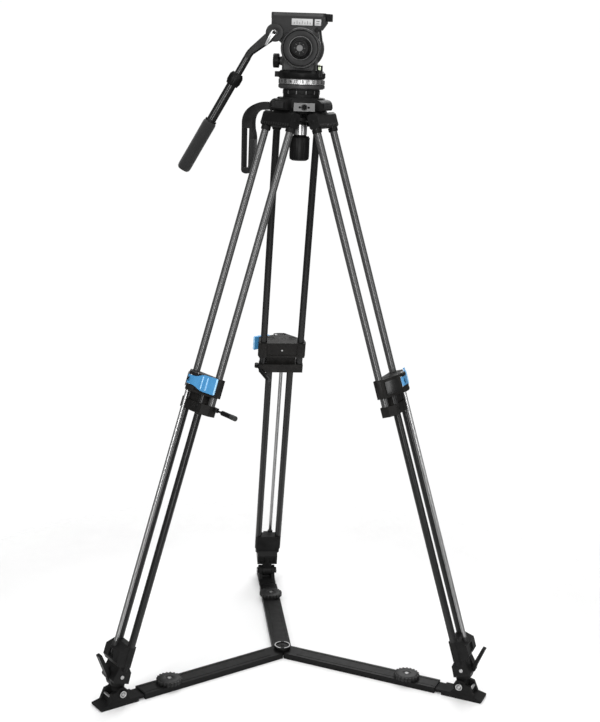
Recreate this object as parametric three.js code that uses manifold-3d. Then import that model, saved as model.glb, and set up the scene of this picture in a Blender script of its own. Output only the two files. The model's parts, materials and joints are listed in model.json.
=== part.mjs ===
// Video tripod with a fluid head, a ground spreader and a pan bar.
// Millimetres, +Z up. The origin is on the tripod's axis, at the height of the three foot soles.
import * as THREE from "three";
import { mergeVertices } from "three/addons/utils/BufferGeometryUtils.js";
import Module from "manifold-3d";

const wasm = await Module();
wasm.setup();

// ---- driving dimensions ----
const GAP = 0.3; // running clearance between two pieces that touch
const TUBE_SIDES = 14;
const LEGS = { left: 216.5, back: 96.5, right: -23.5 }; // azimuth of each leg, degrees
const HINGE = { r: 50, z: 1170 }; // leg hinge pin
const SPREAD = THREE.MathUtils.degToRad(17.69); // lean of each leg
const AXLE_Z = 28; // foot axle above the soles
const LEG_LENGTH = (HINGE.z - AXLE_Z) / Math.cos(SPREAD); // hinge pin to foot axle
const FOOT_R = HINGE.r + LEG_LENGTH * Math.sin(SPREAD); // axis of the tripod to foot axle

const TUBE_R = 7.5; // upper and middle tubes
const TUBE_BORE = 5.9;
const UPPER_T = 42; // half spacing of the upper tubes
const MID_T = 24.3; // half spacing of the middle tubes
const MID_N = 13.5; // the middle tubes stand this far out from the upper ones
const INNER_R = 5.4; // lowest tubes, inside the middle tubes
const ROD = { r: 4, t: -6, n: 33 }; // control rod of the leg lock, which its quick lever turns about

const YOKE = { inner: -10, outer: 11, half: 50.8, low: -12, high: 18, pocket: 27.8, pin: 5 };
const LOCK = { top: -529, bottom: -567, t: 52, inner: -9 };
// Outer face of the lock, as (n, t) points: straight up to a crest and down along the quick lever.
const LOCK_NEAR = [[8, -52], [39, -8]];
const LOCK_FAR = [[39.5, 4], [38, 13], [32.5, 30], [22.8, 52]];
const LEVER_BACK = [[35, -6], [35, 4], [33.3, 13], [27.8, 30], [15.4, 62]];
const LEVER = { thick: 4.4, eyeR: 6.6, eyeLow: -554, eyeHigh: -536, tipLow: -561, tipHigh: -527.6 };
const CLAMP = { top: -585, bottom: -606, t: 50, inner: -9, outer: 20 };
const SCREW = { n: -5, t: 55.6, z: -590 }; // pivot of the clamp lever
const CLAMP_GRIP = { r: 5, stem: 2.2, start: 22, end: 69 }; // its grip and stem, along the lever
const SWING = { left: 0, back: 110, right: 55 }; // how each clamp lever is left standing, degrees
const BOX = { top: -1096.5, bottom: -1141, t: 28, inner: 4, outer: 40 };
const NECK = { t: 24.5, top: -1142, knuckleR: 12, knuckleT: 11 }; // lowest casting, above the foot axle
const AXLE = { r: 5, bossR: 7.5, end: 24, ear: 11.6 }; // foot axle and the ears that hold it

const ARM = { width: 42, height: 12, base: 0.6, outer: 361, wall: 3 };
const BAR = { width: 35, low: 3.9, high: 9.3, inner: 182 };
const PAD = { width: 40, toe: 463, heel: 376 };
const KNOB = { r: 292, radius: 27.5, height: 9.5, scallops: 20 };
const HUB = { radius: 18.5, low: 13, high: 21.5 };

const BOWL = { z: 1218, r: 38 }; // centre of the bowl and of the half ball
const BALL_R = 37.5;
const CROWN = { top: 1217, bottom: 1186, r: 51 };
const HANDLE_AZIMUTH = 156.5;
const BOSS_AZIMUTH = -83.5;
const BOSS_Z = 1199.5;

const SCALE = { low: 1233.4, high: 1253.6, r: 46.6 };
const BASE = { low: 1254, high: 1270, r: 47.5 };
const PAN = -6; // the head's heading at rest, degrees
const LEVEL = { x: 38, y: -26, r: 5.8, well: 4.4, top: 1281 }; // bubble level's cup
const HOUSING = { low: 1270.4, high: 1293, x0: -38.5, x1: 29, y: 24.5 };
const PAN_LOCK = { z: 1287.5, r: 14, x0: -58, x1: -47 };
const TILT_Z = 1313; // tilt axis, along the head's Y
const CARTRIDGE_R = 33;
const SHAFT = { r: 6, bore: 6.5, near: -57.5, far: 60 }; // tilt shaft, which both dials turn on
const DISC = { r: 39.3, inner: 25.3, outer: 43 };
const CRADLE = { x0: -60, x1: 46, low: 1349, high: 1374.4, y: 30, cheek: 35 };
const PLATE = { x0: -62, x1: 45.5, y: 26, corner: 5, low: 1374.8, high: 1381 };
const DIAL = { near: -60, farDepth: 23, farR: 30 };
const ROSETTE = { x: -51.5, z: 1341, r: 17.5, y0: -50.5, y1: -38.3 };
const BAR_Y = -44.5; // plane of the pan bar
const BAR_BEND = { x: -99, z: 1302 };
const BAR_END = { x: -231, z: 1067 };
const BAR_TUBE = 7.3; // upper tube of the pan bar, which runs inside the lower one
const GRIP_TUBE = 9.2;
const GRIP = { start: 53, bore: 218, r: 13.5, foamStart: 105, foamEnd: 210, length: 217 };
const COLLAR = { start: 48, length: 26, r: 13.5 }; // the clamp between the two tubes
const TIEDOWN = { low: 1091, shoulder: 1140, collar: 1168, top: 1177, r: 20.5, rod: 6 };

const COLOURS = {
  black: [0x1b1b1c, 0.62, 0.1],
  casting: [0x262728, 0.55, 0.25],
  carbon: [0x3a3a3b, 0.42, 0.2],
  grey: [0x6d7073, 0.5, 0.5],
  steel: [0xc9cbcd, 0.25, 0.95],
  blue: [0x5aa5d8, 0.45, 0.05],
  rubber: [0x161616, 0.9, 0],
};

// ---- solids ----
function solid(geometry) {
  const bare = geometry.index ? geometry.toNonIndexed() : geometry.clone();
  bare.deleteAttribute("normal");
  bare.deleteAttribute("uv");
  const merged = mergeVertices(bare, 1e-4);
  const index = Array.from(merged.index.array);
  const faces = [];
  for (let i = 0; i < index.length; i += 3) {
    const [a, b, c] = index.slice(i, i + 3);
    if (a !== b && b !== c && a !== c) faces.push(a, b, c);
  }
  return new wasm.Manifold(
    new wasm.Mesh({
      numProp: 3,
      vertProperties: new Float32Array(merged.attributes.position.array),
      triVerts: new Uint32Array(faces),
    }),
  );
}

function union(...parts) {
  return parts.reduce((whole, part) => whole.add(part));
}

function cut(whole, ...tools) {
  return tools.reduce((left, tool) => left.subtract(tool), whole);
}

function piece(name, shape, finish) {
  const mesh = shape.getMesh();
  const points = [];
  for (let i = 0; i < mesh.vertProperties.length; i += mesh.numProp)
    points.push(...mesh.vertProperties.slice(i, i + 3));
  const geometry = new THREE.BufferGeometry();
  geometry.setAttribute("position", new THREE.Float32BufferAttribute(points, 3));
  geometry.setIndex(Array.from(mesh.triVerts));
  geometry.computeVertexNormals();
  const [color, roughness, metalness] = COLOURS[finish];
  const made = new THREE.Mesh(
    geometry,
    new THREE.MeshStandardMaterial({ color, roughness, metalness, flatShading: true }),
  );
  made.name = name;
  return made;
}

function box(x0, x1, y0, y1, z0, z1) {
  const geometry = new THREE.BoxGeometry(x1 - x0, y1 - y0, z1 - z0);
  return solid(geometry.translate((x0 + x1) / 2, (y0 + y1) / 2, (z0 + z1) / 2));
}

// A cylinder or cone between two heights.
function post(r, z0, z1, x = 0, y = 0, sides = 20, top = r) {
  const geometry = new THREE.CylinderGeometry(top, r, z1 - z0, sides).rotateX(Math.PI / 2);
  return solid(geometry.translate(x, y, (z0 + z1) / 2));
}

function axleY(r, y0, y1, x, z, sides = 20) {
  const geometry = new THREE.CylinderGeometry(r, r, y1 - y0, sides);
  return solid(geometry.translate(x, (y0 + y1) / 2, z));
}

function axleX(r, x0, x1, y, z, sides) {
  const geometry = new THREE.CylinderGeometry(r, r, x1 - x0, sides).rotateZ(Math.PI / 2);
  return solid(geometry.translate((x0 + x1) / 2, y, z));
}

// A cylinder between two points.
function strut(r, from, to, sides = 16, tip = r) {
  const a = new THREE.Vector3(...from);
  const b = new THREE.Vector3(...to);
  const along = b.clone().sub(a);
  const geometry = new THREE.CylinderGeometry(tip, r, along.length(), sides);
  geometry.applyQuaternion(
    new THREE.Quaternion().setFromUnitVectors(new THREE.Vector3(0, 1, 0), along.normalize()),
  );
  return solid(geometry.translate(...a.add(b).multiplyScalar(0.5).toArray()));
}

// A turned profile of (radius, distance) points, set along the line between two points.
function spun(points, from, to, sides = 20) {
  const a = new THREE.Vector3(...from);
  const along = new THREE.Vector3(...to).sub(a).normalize();
  const geometry = new THREE.LatheGeometry(
    points.map(([r, step]) => new THREE.Vector2(r, step)),
    sides,
  );
  geometry.applyQuaternion(new THREE.Quaternion().setFromUnitVectors(new THREE.Vector3(0, 1, 0), along));
  return solid(geometry.translate(...a.toArray()));
}

function outline(points) {
  return new THREE.Shape(points.map(([x, y]) => new THREE.Vector2(x, y)));
}

function extruded(shape, depth, curveSegments = 8) {
  const flat = shape instanceof THREE.Shape ? shape : outline(shape);
  return new THREE.ExtrudeGeometry(flat, { depth, bevelEnabled: false, curveSegments });
}

// An outline in (x, y), raised from z0 to z1.
function slab(shape, z0, z1) {
  return solid(extruded(shape, z1 - z0).translate(0, 0, z0));
}

// An outline in (x, z), run along Y from y0 to y1.
function profile(shape, y0, y1, curveSegments) {
  return solid(extruded(shape, y1 - y0, curveSegments).rotateX(Math.PI / 2).translate(0, y1, 0));
}

// An outline in (y, z), run along X from x0 to x1.
function face(shape, x0, x1, curveSegments) {
  const geometry = extruded(shape, x1 - x0, curveSegments);
  return solid(geometry.rotateX(Math.PI / 2).rotateZ(Math.PI / 2).translate(x0, 0, 0));
}

function turned(points, sides = 32) {
  const geometry = new THREE.LatheGeometry(
    points.map(([r, z]) => new THREE.Vector2(r, z)),
    sides,
  );
  return solid(geometry.rotateX(Math.PI / 2));
}

function at(azimuth, ...children) {
  const group = new THREE.Group();
  group.rotation.z = THREE.MathUtils.degToRad(azimuth);
  group.add(...children);
  return group;
}

// ---- leg, in its own frame: x outward, y across, z up along the leg, origin on the hinge pin ----
function upperTube(name, side) {
  const y = side * UPPER_T;
  const wall = post(TUBE_R, CLAMP.bottom + 4, 12, 0, y, TUBE_SIDES);
  return piece(name, cut(wall, post(TUBE_BORE, CLAMP.bottom, 20, 0, y, 10)), "carbon");
}

// A bar across the two tubes, open towards the crown for its lug, with the hinge pin through the opening.
function legYoke(name) {
  const { inner, outer, half, low, high, pocket, pin } = YOKE;
  const section = [
    [inner, low + 3], [inner + 3, low], [outer - 3, low], [outer, low + 3],
    [outer, high - 5], [outer - 4, high], [inner + 4, high], [inner, high - 5],
  ];
  const room = 8.5;
  const body = cut(
    profile(section, -half, half),
    axleY(room, -pocket, pocket, 0, 0, 20),
    box(inner - 2, 0, -pocket, pocket, -room, high + 2),
    box(-1, room, -pocket, pocket, 0, high + 2),
    ...[-1, 1].map((side) => post(TUBE_R + GAP, low - 2, 12.3, 0, side * UPPER_T, TUBE_SIDES)),
  );
  const caps = [axleY(7, half - 1, half + 0.8, 0, 2, 12), axleY(7, -half - 0.8, 1 - half, 0, 2, 12)];
  return piece(name, union(body, axleY(pin, -31, 31, 0, 0, 12), ...caps), "casting");
}

// The lever's face, a line of (n, t) points, moved outward by a little.
function leverFace(raise) {
  return LEVER_BACK.map(([n, t]) => [n + raise, t + raise * 0.15]);
}

function tubeBores(top, bottom) {
  return [-1, 1].flatMap((side) => [
    post(TUBE_R + GAP, bottom - 2, top + 2, 0, side * UPPER_T, TUBE_SIDES),
    post(TUBE_R + GAP, bottom - 2, top + 2, MID_N, side * MID_T, TUBE_SIDES),
  ]);
}

function lockHousing(name) {
  const { top, bottom, t, inner } = LOCK;
  const body = slab([[inner, -t], ...LOCK_NEAR, ...LOCK_FAR, [inner, t]], bottom, top);
  const beyond = [...leverFace(-0.5 - GAP), [12, 70], [60, 70], [60, -6]];
  const [low, high] = [LEVER.eyeLow - 1.5, LEVER.eyeHigh + 1.5];
  const seat = slab(beyond, low, high).intersect(box(0, 60, -16, 24, bottom, top));
  const bay = slab(beyond, LEVER.tipLow - 2, top + 2).intersect(box(0, 60, 17, 80, bottom, top + 2));
  const eye = post(LEVER.eyeR + 1.2, low, high, ROD.n, ROD.t, 16);
  const rodBore = post(ROD.r + GAP, bottom - 1, top + 1, ROD.n, ROD.t, 14);
  const panel = box(inner - 1, inner + 1.2, -46, 46, bottom + 6, top - 6);
  const tools = [seat, bay, eye, rodBore, panel, ...tubeBores(top, bottom)];
  return piece(name, cut(body, ...tools), "casting");
}

// A bent plate that turns about the control rod: narrow at its eye, wide at its tip.
function quickLever(name) {
  const { thick, eyeR, eyeLow, eyeHigh, tipLow, tipHigh } = LEVER;
  const plate = slab([...leverFace(0), ...leverFace(thick).reverse()], tipLow - 40, tipHigh + 40);
  const wave = new THREE.Shape();
  wave.moveTo(-14, eyeHigh);
  wave.lineTo(10, eyeHigh);
  wave.bezierCurveTo(24, eyeHigh, 26, tipHigh, 40, tipHigh);
  wave.lineTo(66, tipHigh);
  wave.lineTo(66, tipLow);
  wave.lineTo(40, tipLow);
  wave.bezierCurveTo(26, tipLow, 22, eyeLow, 10, eyeLow);
  wave.lineTo(-14, eyeLow);
  const eye = post(eyeR, eyeLow, eyeHigh, ROD.n, ROD.t, 16);
  const bore = post(ROD.r + GAP, tipLow - 40, tipHigh + 40, ROD.n, ROD.t, 14);
  return piece(name, cut(union(plate.intersect(face(wave, 10, 60, 6)), eye), bore), "blue");
}

function clampBlock(name) {
  const { t, inner, outer, top, bottom } = CLAMP;
  const plan = [[inner, -t], [8, -t], [outer, -36], [outer + 3, 0], [outer, 36], [8, t], [inner, t]];
  const neck = slab([[1, -33], [15, -33], [20, 0], [15, 33], [1, 33]], top - 1, LOCK.bottom - GAP);
  const body = union(slab(plan, bottom, top), neck);
  return piece(name, cut(body, ...tubeBores(LOCK.bottom, bottom)), "casting");
}

// Rod and round grip, pointing across the leg and swung inward.
function clampLever(name, swing) {
  const { n, t, z } = SCREW;
  const { r, stem, start, end } = CLAMP_GRIP;
  const knuckle = post(5, z - 4, z + 5, 0, 0, 14);
  const shank = strut(stem, [0, 3, z], [0, start + 2, z], 10);
  const grip = strut(r, [0, start, z], [0, end, z], 14);
  return piece(name, union(knuckle, shank, grip).rotate([0, 0, swing]).translate([n, t, 0]), "black");
}

function midStage(name) {
  const { top, bottom, t, inner, outer } = BOX;
  const tube = (r, low, high, side, sides) => post(r, low, high, MID_N, side * MID_T, sides);
  const tubes = [-1, 1].map((side) => tube(TUBE_R, bottom + 4, LOCK.top - 0.4, side, TUBE_SIDES));
  const bores = [-1, 1].map((side) => tube(TUBE_BORE, bottom - 2, LOCK.top - 20, side, 12));
  const section = [
    [inner, bottom], [outer - 8, bottom], [outer, bottom + 9],
    [outer, top - 13], [outer - 18, top], [inner, top],
  ];
  const body = profile(section, -t, t);
  const relief = box(outer - 3, outer + 2, -9, 9, bottom + 12, top - 16);
  const seat = post(ROD.r + GAP, top - 28, top + 2, ROD.n, ROD.t, 12);
  return piece(name, cut(union(...tubes, body), relief, ...bores, seat), "carbon");
}

function controlRod(name) {
  return piece(name, post(ROD.r, BOX.top - 27, LOCK.bottom + 36, ROD.n, ROD.t, 14), "steel");
}

function footStage(name) {
  const rods = [-1, 1].map((side) => post(INNER_R, -1150, -565, MID_N, side * MID_T, 12));
  const { t, top, knuckleR, knuckleT } = NECK;
  const section = [
    [-4, top - 10], [4, top], [27, top], [31, top - 18], [33, top - 30],
    [24, -LEG_LENGTH + 12], [9, -LEG_LENGTH + 9], [-6, -LEG_LENGTH + 9],
  ];
  const neck = profile(section, -t, t);
  const knuckle = axleY(knuckleR, -knuckleT, knuckleT, 0, -LEG_LENGTH, 16);
  const flank = (y0, y1) => box(-20, 45, y0, y1, -1212, -1176);
  const flanks = [flank(knuckleT, 40), flank(-40, -knuckleT)];
  const bore = axleY(AXLE.r + 0.45, -20, 20, 0, -LEG_LENGTH, 12);
  const slot = box(28, 46, -7.6, 7.6, -1180, -1150);
  const dimples = [-1, 1].map((side) => box(-8, -1, side * 12 - 7, side * 12 + 7, -1172, -1156));
  return piece(name, cut(union(cut(neck, ...flanks), knuckle, ...rods), bore, slot, ...dimples), "casting");
}

function footLever(name) {
  const blade = outline([[31.5, -1172], [36, -1174], [43, -1163], [70, -1130], [64, -1126], [36, -1158]]);
  return piece(name, union(profile(blade, -7, 7), axleY(4.4, -7, 7, 35, -1169, 12)), "black");
}

// ---- ground spreader and feet, in a frame turned to the leg's azimuth: x outward ----
function footPad(name) {
  const half = PAD.width / 2;
  const sole = outline([
    [PAD.heel, 0], [PAD.toe - 2, 0], [PAD.toe, 2], [PAD.toe, 6], [FOOT_R + 26, 11], [PAD.heel, 11],
  ]);
  const ear = outline([[FOOT_R - 24, 5], [FOOT_R + 34, 5], [FOOT_R + 22, 32]]);
  ear.absarc(FOOT_R, AXLE_Z, 13, 0.5, Math.PI + 0.5, false);
  const rib = box(FOOT_R + 20, FOOT_R + 25, -13, 13, 9, 22);
  const bar = box(BAR.inner, PAD.heel + 1, -BAR.width / 2, BAR.width / 2, BAR.low, BAR.high);
  const parts = [profile(sole, -half, half), bar, axleY(AXLE.r, -15, 15, FOOT_R, AXLE_Z, 12), rib];
  for (const [y0, y1] of [[AXLE.ear, half - 0.5], [-half + 0.5, -AXLE.ear]])
    parts.push(profile(ear, y0, y1, 6));
  for (const [y0, y1] of [[half - 1, AXLE.end], [-AXLE.end, -half + 1]])
    parts.push(axleY(AXLE.bossR, y0, y1, FOOT_R, AXLE_Z, 12));
  return piece(name, union(...parts), "rubber");
}

// The three arms meet in pointed ends, each cut to 120 degrees.
function spreaderArm(name) {
  const half = ARM.width / 2;
  const start = 1.2;
  const point = start + half / Math.tan(Math.PI / 3);
  const plan = [[start, 0], [point, -half], [ARM.outer, -half], [ARM.outer, half], [point, half]];
  const { base, height, wall } = ARM;
  const body = slab(plan, base, base + height);
  const side = BAR.width / 2 + GAP;
  const room = box(60, ARM.outer + 2, -side, side, BAR.low - GAP, BAR.high + GAP);
  const groove = [-13, 13].map((y) =>
    box(40, ARM.outer + 1, y - 0.8, y + 0.8, base + height - 0.7, base + height + 1),
  );
  const channel = box(30, ARM.outer + 1, -half + wall * 2, half - wall * 2, base - 1, base + 1);
  return piece(name, cut(body, room, ...groove, channel), "black");
}

function scalloped(radius, z0, z1, count, x) {
  const points = [];
  for (let i = 0; i < count * 2; i++) {
    const angle = (i * Math.PI) / count;
    const r = radius - (i % 2 === 0 ? 2 : 0);
    points.push([x + r * Math.cos(angle), r * Math.sin(angle)]);
  }
  return slab(points, z0, z1);
}

function spreaderKnob(name) {
  const low = ARM.base + ARM.height + GAP;
  const high = low + KNOB.height;
  const rim = scalloped(KNOB.radius, low, high - 2, KNOB.scallops, KNOB.r);
  const crown = post(KNOB.radius - 4, high - 3, high, KNOB.r, 0, 18, KNOB.radius - 8);
  return piece(name, cut(union(rim, crown), post(6.5, high - 2, high + 1, KNOB.r, 0, 12)), "black");
}

function spreaderHub() {
  const { radius, low, high } = HUB;
  const body = turned([
    [0, low], [radius - 1, low], [radius, low + 2], [radius, high - 2], [radius - 2, high], [0, high],
  ], 24);
  return piece("spreader_hub", cut(body, post(13.5, high - 2, high + 1, 0, 0, 24)), "black");
}

function leg(side, azimuth) {
  const limb = new THREE.Group();
  limb.position.set(HINGE.r, 0, HINGE.z);
  limb.rotation.y = -SPREAD;
  limb.add(
    upperTube(`${side}_upper_tube_a`, -1),
    upperTube(`${side}_upper_tube_b`, 1),
    legYoke(`${side}_leg_yoke`),
    lockHousing(`${side}_lock_housing`),
    quickLever(`${side}_quick_lever`),
    clampBlock(`${side}_clamp_block`),
    clampLever(`${side}_clamp_lever`, SWING[side]),
    midStage(`${side}_mid_stage`),
    controlRod(`${side}_control_rod`),
    footStage(`${side}_foot_stage`),
    footLever(`${side}_foot_lever`),
  );
  return at(
    azimuth,
    limb,
    footPad(`${side}_foot_pad`),
    spreaderArm(`${side}_spreader_arm`),
    spreaderKnob(`${side}_spreader_knob`),
  );
}

// ---- crown ----
function turnedTo(shape, azimuth) {
  return shape.rotate([0, 0, azimuth]);
}

// The lower part of a ball about the bowl's centre, down to a flat of radius r1.
function bowlBall(r, r1) {
  const points = [[0, BOWL.z + 4], [r, BOWL.z + 4]];
  const last = Math.acos(r1 / r);
  for (let i = 0; i <= 4; i++) {
    const angle = (last * i) / 4;
    points.push([r * Math.cos(angle), BOWL.z - r * Math.sin(angle)]);
  }
  points.push([r1, BOWL.z - 40], [0, BOWL.z - 40]);
  return turned(points.reverse(), 28);
}

function crown() {
  const { top, bottom, r } = CROWN;
  const ring = turned([
    [0, bottom], [29, bottom], [31, bottom + 6.3], [r - 4, bottom + 6.3],
    [r, bottom + 11], [r, top - 6], [r - 4, top], [0, top],
  ], 28);
  const shoulder = outline([[30, 1192.8], [56, 1192.8], [58.5, 1197]]);
  shoulder.bezierCurveTo(58.5, 1208, 54, 1213, 46, 1214);
  shoulder.lineTo(30, 1214);
  const lug = outline([[31, 1187], [43.4, 1166]]);
  lug.absarc(HINGE.r, HINGE.z, 7.8, -2.6, 0.35, false);
  lug.lineTo(44, 1194);
  lug.lineTo(31, 1194);
  const parts = [ring];
  for (const azimuth of Object.values(LEGS)) {
    parts.push(turnedTo(profile(shoulder, -27, 27, 5), azimuth));
    parts.push(turnedTo(profile(lug, -27, 27, 6), azimuth));
  }
  parts.push(turnedTo(box(40, 61, -21, 21, 1191.8, 1208), BOSS_AZIMUTH));
  parts.push(turnedTo(box(40, 58, -9, 9, 1189, 1207), HANDLE_AZIMUTH));
  const tools = [
    bowlBall(BOWL.r, 24),
    turnedTo(axleX(4.8, 52, 64, 0, BOSS_Z, 12), BOSS_AZIMUTH),
    turnedTo(axleX(2.4, 54, 64, -9, BOSS_Z, 8), BOSS_AZIMUTH),
    turnedTo(axleX(2.4, 54, 64, 9, BOSS_Z, 8), BOSS_AZIMUTH),
  ];
  for (const azimuth of Object.values(LEGS))
    tools.push(turnedTo(axleY(YOKE.pin + 0.45, -40, 40, HINGE.r, HINGE.z, 12), azimuth));
  return piece("crown", cut(union(...parts), ...tools), "casting");
}

function carryHandle() {
  const path = new THREE.Shape();
  path.moveTo(58.4, 1204);
  path.bezierCurveTo(73, 1207, 88, 1205, 100, 1199);
  path.bezierCurveTo(116, 1192, 127, 1180, 127.5, 1162);
  path.lineTo(126.5, 1064);
  path.bezierCurveTo(125.5, 1054, 104, 1054, 103, 1066);
  path.lineTo(99, 1130);
  path.bezierCurveTo(99, 1142, 104, 1150, 104, 1160);
  path.bezierCurveTo(104, 1176, 98, 1185, 88, 1188);
  path.lineTo(58.4, 1190);
  const slot = outline([[117, 1070], [122.5, 1070], [123.5, 1150], [120, 1152]]);
  const flange = box(58.4, 63, -12, 12, 1188, 1208);
  const body = cut(profile(path, -9, 9, 8), profile(slot, -12, 12));
  return piece("carry_handle", union(body, flange), "black");
}

// ---- head ----
function ballBase() {
  const points = [[0, TIEDOWN.low + 13], [TIEDOWN.rod, TIEDOWN.low + 13], [TIEDOWN.rod, 1189]];
  for (let i = 4; i >= 1; i--) {
    const angle = (i * Math.PI) / 13;
    points.push([BALL_R * Math.cos(angle), BOWL.z - BALL_R * Math.sin(angle)]);
  }
  points.push([36.6, BOWL.z], [36.6, SCALE.low - GAP], [0, SCALE.low - GAP]);
  return piece("ball_base", turned(points, 28), "black");
}

function tiedownKnob() {
  const { low, shoulder, collar, top, r, rod } = TIEDOWN;
  const body = turned([
    [0, low], [r - 5.5, low], [r - 1, low + 3], [r, low + 9], [r, shoulder - 4], [r - 2.5, shoulder],
    [13, shoulder + 1], [13, collar], [25, collar + 4], [25, top], [0, top],
  ], 20);
  const flutes = [];
  for (let i = 0; i < 6; i++) {
    const angle = (i * Math.PI) / 3;
    const x = (r + 2.1) * Math.cos(angle);
    flutes.push(post(3.5, low - 6, shoulder - 6, x, (r + 2.1) * Math.sin(angle), 6));
  }
  const bore = post(rod + 0.4, low + 12, top + 3, 0, 0, 14);
  return piece("tiedown_knob", cut(body, bore, ...flutes), "black");
}

function scaleRing() {
  const { low, high, r } = SCALE;
  const ring = turned([[0, low], [r - 4, low], [r, low + 3], [r, high - 3], [r - 2, high], [0, high]], 40);
  return piece("scale_ring", ring, "grey");
}

function baseRing() {
  const { low, high, r } = BASE;
  const ring = turned([[0, low], [r - 2, low], [r, low + 3], [r, high - 5], [r - 5, high], [0, high]], 36);
  const lobe = union(box(-53, -30, -12, 12, low + 2, high - 3), post(8, low + 2, high - 3, -47, 0, 16));
  const { x, y, r: cupR, well, top } = LEVEL;
  const cup = post(cupR, low + 4, top, x, y, 16);
  const foot = box(x - 5, x + 5, y - 5, y + 5, low + 4, high + 1);
  const hollow = post(well, top - 1.5, top + 3, x, y, 16);
  return piece("base_ring", cut(union(ring, lobe, cup, foot), hollow), "black");
}

function panHousing() {
  const { low, high, x0, x1, y } = HOUSING;
  const plan = [[x0, -y + 4], [x0 + 4, -y], [x1 - 4, -y], [x1, -y + 4], [x1, y], [x0, y]];
  const wall = [[x0, high - 1], [x0, 1319], [-33, 1327], [33, 1318], [x1, high - 1]];
  const shaft = axleY(SHAFT.r, SHAFT.near, SHAFT.far, 0, TILT_Z, 14);
  const boss = axleX(9, -44, -30, 0, PAN_LOCK.z, 14);
  const stud = axleX(4, PAN_LOCK.x0 + 7, -40, 0, PAN_LOCK.z, 10);
  const parts = [slab(plan, low, high), profile(wall, -y, y), axleY(CARTRIDGE_R, -y, y, 0, TILT_Z, 28)];
  return piece("pan_housing", union(...parts, shaft, boss, stud), "grey");
}

function panLockKnob() {
  const { z, r, x0, x1 } = PAN_LOCK;
  const grip = axleX(r, x0, x1, 0, z, 14);
  const collar = axleX(8, x1 - 1, x1 + 2.6, 0, z, 14);
  const bore = axleX(4.5, x0 + 6, -40, 0, z, 10);
  return piece("pan_lock_knob", cut(union(grip, collar), bore), "black");
}

function tiltCradle() {
  const { x0, x1, low, high, y } = CRADLE;
  const deck = [[x0, low + 4], [x0 + 4, low], [x1 - 10, low], [x1, low + 14], [x1, high], [x0, high]];
  const parts = [profile(deck, -y, y)];
  const cheek = [
    [x0, high - 4], [x0, low - 8], [-37, TILT_Z + 6],
    [38, TILT_Z + 6], [x1 - 14, low + 6], [x1 - 4, high - 4],
  ];
  for (const side of [-1, 1]) {
    const [y0, y1] = side > 0 ? [DISC.inner, CRADLE.cheek] : [-CRADLE.cheek, -DISC.inner];
    const [d0, d1] = side > 0 ? [DISC.inner, DISC.outer] : [-DISC.outer, -DISC.inner];
    parts.push(axleY(DISC.r, d0, d1, 0, TILT_Z, 36), profile(cheek, y0, y1));
  }
  parts.push(axleY(ROSETTE.r - 2, -CRADLE.cheek - 3, -DISC.inner, ROSETTE.x, ROSETTE.z, 24));
  const channel = outline([[-20.5, high - 9], [20.5, high - 9], [17.5, high + 1], [-17.5, high + 1]]);
  const tools = [
    face(channel, x0 - 20, x1 + 5),
    axleY(SHAFT.bore, -70, 70, 0, TILT_Z, 14),
    axleY(CARTRIDGE_R + 1.5, -HOUSING.y - 0.4, HOUSING.y + 0.4, 0, TILT_Z, 28),
  ];
  return piece("tilt_cradle", cut(union(...parts), ...tools), "black");
}

function cameraPlate() {
  const { x0, x1, y, corner, low, high } = PLATE;
  const floor = CRADLE.high - 8.5;
  const keel = outline([[-20, floor], [20, floor], [17.1, low + 1], [-17.1, low + 1]]);
  const plan = [
    [x0, corner - y], [x0 + corner, -y], [x1 - corner, -y], [x1, corner - y],
    [x1, y - corner], [x1 - corner, y], [x0 + corner, y], [x0, y - corner],
  ];
  return piece("camera_plate", union(slab(plan, low, high), face(keel, x0, x1)), "black");
}

function plateLever() {
  const { x1 } = CRADLE;
  const blade = [
    [x1 + 1, -26], [x1 + 7, -28], [x1 + 12, -14], [x1 + 11, 12], [x1 + 3, 16], [x1 + 1, 10],
  ];
  return piece("plate_lever", slab(blade, 1366, PLATE.high - 1), "black");
}

function tiltDial() {
  const [y0, y1] = [DIAL.near, -DISC.outer - GAP];
  const section = [
    [0, 0], [16, 0], [18.5, 2], [18.5, 10], [21.5, 12], [21.5, y1 - y0], [0, y1 - y0],
  ];
  const dial = spun(section, [0, y0, TILT_Z], [0, y1, TILT_Z], 28);
  const bore = axleY(SHAFT.bore, SHAFT.near - 0.5, -30, 0, TILT_Z, 12);
  return piece("tilt_drag_dial", cut(dial, bore), "casting");
}

function counterbalanceDial() {
  const y0 = DISC.outer + GAP;
  const { farR, farDepth } = DIAL;
  const section = [[0, 0], [farR, 0], [farR, 10], [24, 13], [23, farDepth], [0, farDepth]];
  const dial = spun(section, [0, y0, TILT_Z], [0, y0 + farDepth, TILT_Z], 24);
  const bore = axleY(SHAFT.bore, 30, SHAFT.far + 0.3, 0, TILT_Z, 12);
  return piece("counterbalance_dial", cut(dial, bore), "casting");
}

function rosetteLever() {
  const { x, z, y0 } = ROSETTE;
  const boss = axleY(6, y0 - 7, y0 - GAP, x, z, 14);
  const arm = strut(2.5, [x - 17, y0 - 5, z - 25], [x, y0 - 5, z], 10, 4.2);
  return piece("pan_bar_clamp_lever", union(boss, arm), "steel");
}

function along(step) {
  const dx = BAR_END.x - BAR_BEND.x;
  const dz = BAR_END.z - BAR_BEND.z;
  const length = Math.hypot(dx, dz);
  return [BAR_BEND.x + (dx * step) / length, BAR_Y, BAR_BEND.z + (dz * step) / length];
}

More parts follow.
